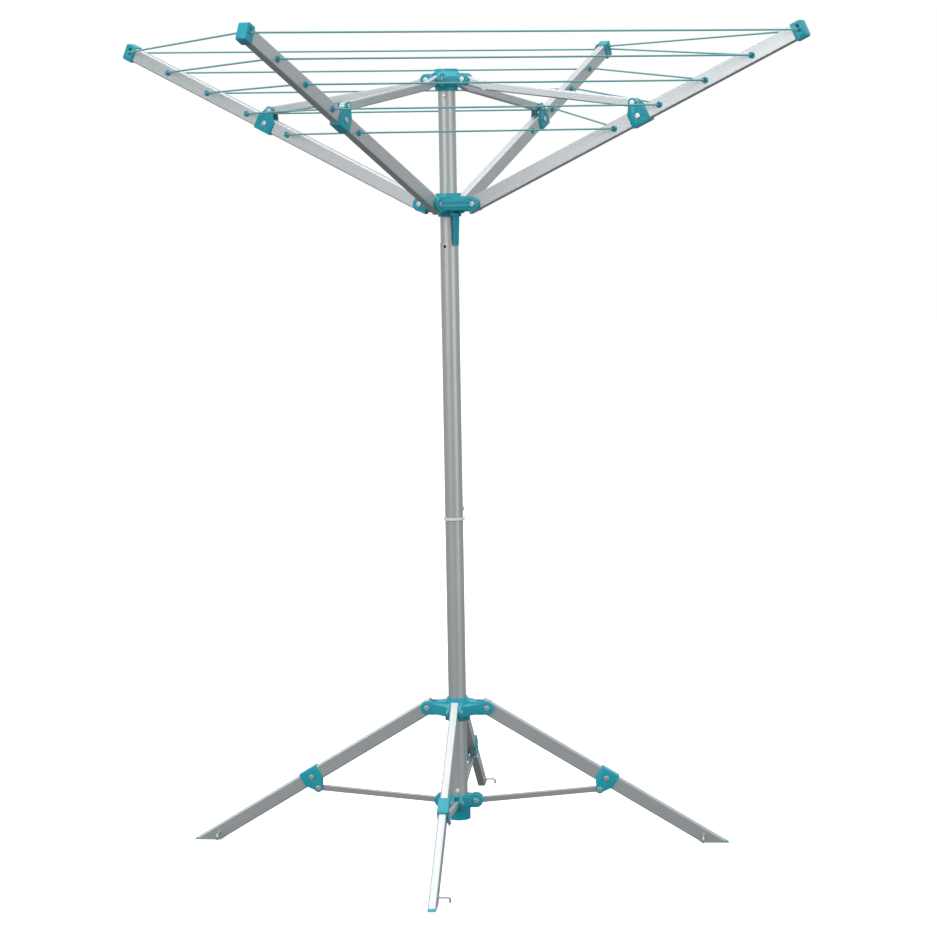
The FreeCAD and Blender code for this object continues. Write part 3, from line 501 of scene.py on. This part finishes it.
class CLOTHESLINE_OT_line(bpy.types.Operator):
    """Runs the coated line through the guides, each span in two halves, and works out where each half would hang
    when the arms fold
    """
    bl_idname = "clothesline.line"
    bl_label = "Clothesline"

    def execute(self, context):
        looks = context.scene.line_looks
        slide = JOINTS["runner_slide"]["range_m"][0]
        folded = {side: turned_hinge("strut_fold_" + side, slide) @ turned_hinge("arm_fold_" + side, slide)
                  for side in SIDES}
        passes = [("back", 0, looks.lift)]
        for row in range(looks.rows):
            for side in ("right", "front", "left", "back"):
                if not (side == "back" and row == looks.rows - 1):
                    passes.append((side, row, 0.0))
        material = coated_line("pvc_coated_line")
        for number, (here, there) in enumerate(zip(passes, passes[1:]), 1):
            self.span(number, here, there, looks, folded, material)
        return {"FINISHED"}

    def span(self, number, here, there, looks, folded, material):
        """Lays one span in two halves, works out where each would hang when the arms are down, and stops if a half
        can't reach there.
        """
        leave = line_place(looks, here[0], here[1], -1, here[2])
        enter = line_place(looks, there[0], there[1], 1, there[2])
        middle = (leave + enter) / 2
        reach = (enter - leave).length / 2
        ends = [folded[here[0]] @ leave, folded[there[0]] @ enter]
        drop = min(looks.slack_drop * reach, HANG_LIMIT)
        meeting = (ends[0] + ends[1]) / 2 - Vector((0, 0, drop))
        for end, (side, row, lift), corner in (("a", here, leave), ("b", there, enter)):
            anchor = line_place(looks, side, row, 0, lift)
            trim = looks.bend * BEND_TRIM
            first = corner + (anchor - corner).normalized() * trim
            last = corner + (middle - corner).normalized() * trim
            route = [anchor, anchor.lerp(first, 0.5), first, corner, last, last.lerp(middle, 0.1),
                     last.lerp(middle, 0.5), middle]
            rope = laid_line(f"line_{number:02d}{end}", route, looks, SPAN_SMOOTHNESS, side, material)
            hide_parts("clothesline")
            open_reach = middle - anchor
            hung = folded[side].inverted() @ meeting - anchor
            shift = open_reach - hung
            axis = shift.normalized()
            keep = 1.0 - shift.length / open_reach.dot(axis)
            if not 0.0 < keep <= 1.0:
                raise RuntimeError(f"half span {number}{end} can't hang there: keep {keep:.3f}")
            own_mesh(rope)


class CLOTHESLINE_OT_knots(bpy.types.Operator):
    """Ties the stopper knots at both ends of the line"""
    bl_idname = "clothesline.knots"
    bl_label = "Stopper Knots"

    def execute(self, context):
        looks = context.scene.line_looks
        material = bpy.data.materials["pvc_coated_line"]
        for name, side, row, edge, lift in (("knot_start", "back", 0, 1, looks.lift),
                                            ("knot_end", "left", looks.rows - 1, -1, 0.0)):
            along, upright, across = arm_axes(side)
            across = across * edge
            centre = line_place(looks, side, row, edge, lift)
            # an overhand knot: the line runs in, wraps once round itself and leaves as a short tail
            route = [centre - across * looks.exit * KNOT_LEAD]
            for step in range(KNOT_STEPS + 1):
                turn = 2 * math.pi * step / KNOT_STEPS
                swing = (along * (math.sin(turn) + 2 * math.sin(2 * turn))
                         + upright * (math.cos(turn) - 2 * math.cos(2 * turn)))
                route.append(centre + swing * KNOT_LOOP - across * math.sin(3 * turn) * KNOT_DEPTH)
            route.append(centre + across * KNOT_TAIL - upright * KNOT_TAIL_DROP)
            laid_line(name, route, looks, KNOT_SMOOTHNESS, side, material)
        return {"FINISHED"}


class CLOTHESLINE_OT_stage(bpy.types.Operator):
    """Sets the floor, the studio lights and the camera"""
    bl_idname = "clothesline.stage"
    bl_label = "Stage"

    def execute(self, context):
        looks = context.scene.stage_looks
        deselect()
        bpy.ops.mesh.primitive_circle_add(vertices=96, radius=FLOOR_RADIUS, fill_type="NGON",
                                          location=(0, 0, -FLOOR_DROP))
        floor = context.object
        floor.name = "floor"
        material, tree = blank("matt_white_floor")
        shader = add(tree, "ShaderNodeBsdfPrincipled", {"Base Color": linear("#FAFAFA"), "Roughness": 0.9,
                                                        "Emission Color": linear("#FFFFFF"),
                                                        "Emission Strength": 0.55})
        finish_with(tree, shader)
        paint(floor, material)
        floor.visible_glossy = False
        floor.visible_diffuse = False

        world = bpy.data.worlds.new("white_studio")
        context.scene.world = world
        world.use_nodes = True
        tree = world.node_tree
        tree.nodes.clear()
        path = add(tree, "ShaderNodeLightPath")
        seen = add(tree, "ShaderNodeBackground", {"Color": linear("#FFFFFF"), "Strength": 1.0})
        place = add(tree, "ShaderNodeTexCoord")
        height = add(tree, "ShaderNodeSeparateXYZ", {}, {"Vector": (place, "Generated")})
        dim = add(tree, "ShaderNodeMapRange",
                  {"From Min": -0.45, "From Max": 0.3, "To Min": 0.2, "To Max": 0.86},
                  {"Value": (height, "Z")})
        cast = add(tree, "ShaderNodeBackground", {"Color": linear("#EEF3F6")}, {"Strength": (dim, "Result")})
        mixed = add(tree, "ShaderNodeMixShader", {}, {0: (path, "Is Camera Ray"), 1: (cast, "Background"),
                                                      2: (seen, "Background")})
        add(tree, "ShaderNodeOutputWorld", links={"Surface": (mixed, "Shader")})

        for name, place, size, energy in LIGHTS:
            lamp = bpy.data.lights.new(name, "AREA")
            lamp.energy = energy
            lamp.size = size
            holder = bpy.data.objects.new(name, lamp)
            holder.location = place
            aim = LIGHT_TARGET - Vector(place)
            holder.rotation_euler = aim.to_track_quat("-Z", "Y").to_euler()
            context.scene.collection.objects.link(holder)

        lens = bpy.data.cameras.new("camera")
        lens.lens = looks.lens
        lens.sensor_width = 36.0
        lens.dof.use_dof = False
        lens.clip_start = 0.1
        camera = bpy.data.objects.new("camera", lens)
        context.scene.collection.objects.link(camera)
        context.scene.camera = camera
        ahead = Vector((math.sin(looks.yaw) * math.cos(looks.pitch),
                        math.cos(looks.yaw) * math.cos(looks.pitch), -math.sin(looks.pitch)))
        right = ahead.cross(Vector((0, 0, 1))).normalized()
        above = right.cross(ahead)
        rolled = right * math.cos(looks.roll) + above * math.sin(looks.roll)
        above = rolled.cross(ahead)
        turn = Matrix((rolled, above, -ahead)).transposed().to_4x4()
        camera.matrix_world = Matrix.Translation(Vector(looks.camera)) @ turn
        context.scene.view_settings.view_transform = "Standard"
        return {"FINISHED"}


class CLOTHESLINE_PT_panel(bpy.types.Panel):
    """Lists the steps that finish the clothesline"""
    bl_idname = "CLOTHESLINE_PT_panel"
    bl_label = "Rotary Clothesline"
    bl_space_type = "VIEW_3D"
    bl_region_type = "UI"
    bl_category = "Clothesline"

    def draw(self, context):
        for step in STEPS:
            self.layout.operator(step.bl_idname)


LOOKS = (("tube_looks", TubeLooks), ("moulded_looks", MouldedLooks), ("line_looks", LineLooks),
         ("stage_looks", StageLooks))
STEPS = (CLOTHESLINE_OT_tubes, CLOTHESLINE_OT_hubs, CLOTHESLINE_OT_arm_fittings, CLOTHESLINE_OT_leg_fittings,
         CLOTHESLINE_OT_rivets, CLOTHESLINE_OT_bearing, CLOTHESLINE_OT_line, CLOTHESLINE_OT_knots,
         CLOTHESLINE_OT_stage)


def register():
    for name, looks in LOOKS:
        bpy.utils.register_class(looks)
        setattr(bpy.types.Scene, name, PointerProperty(type=looks))
    for item in STEPS + (CLOTHESLINE_PT_panel,):
        bpy.utils.register_class(item)


def unregister():
    for item in reversed(STEPS + (CLOTHESLINE_PT_panel,)):
        bpy.utils.unregister_class(item)
    for name, looks in reversed(LOOKS):
        delattr(bpy.types.Scene, name)
        bpy.utils.unregister_class(looks)


def main():
    register()
    for step in STEPS:
        group, action = step.bl_idname.split(".")
        getattr(getattr(bpy.ops, group), action)()
    bpy.context.view_layer.update()


if __name__ == "__main__":
    main()
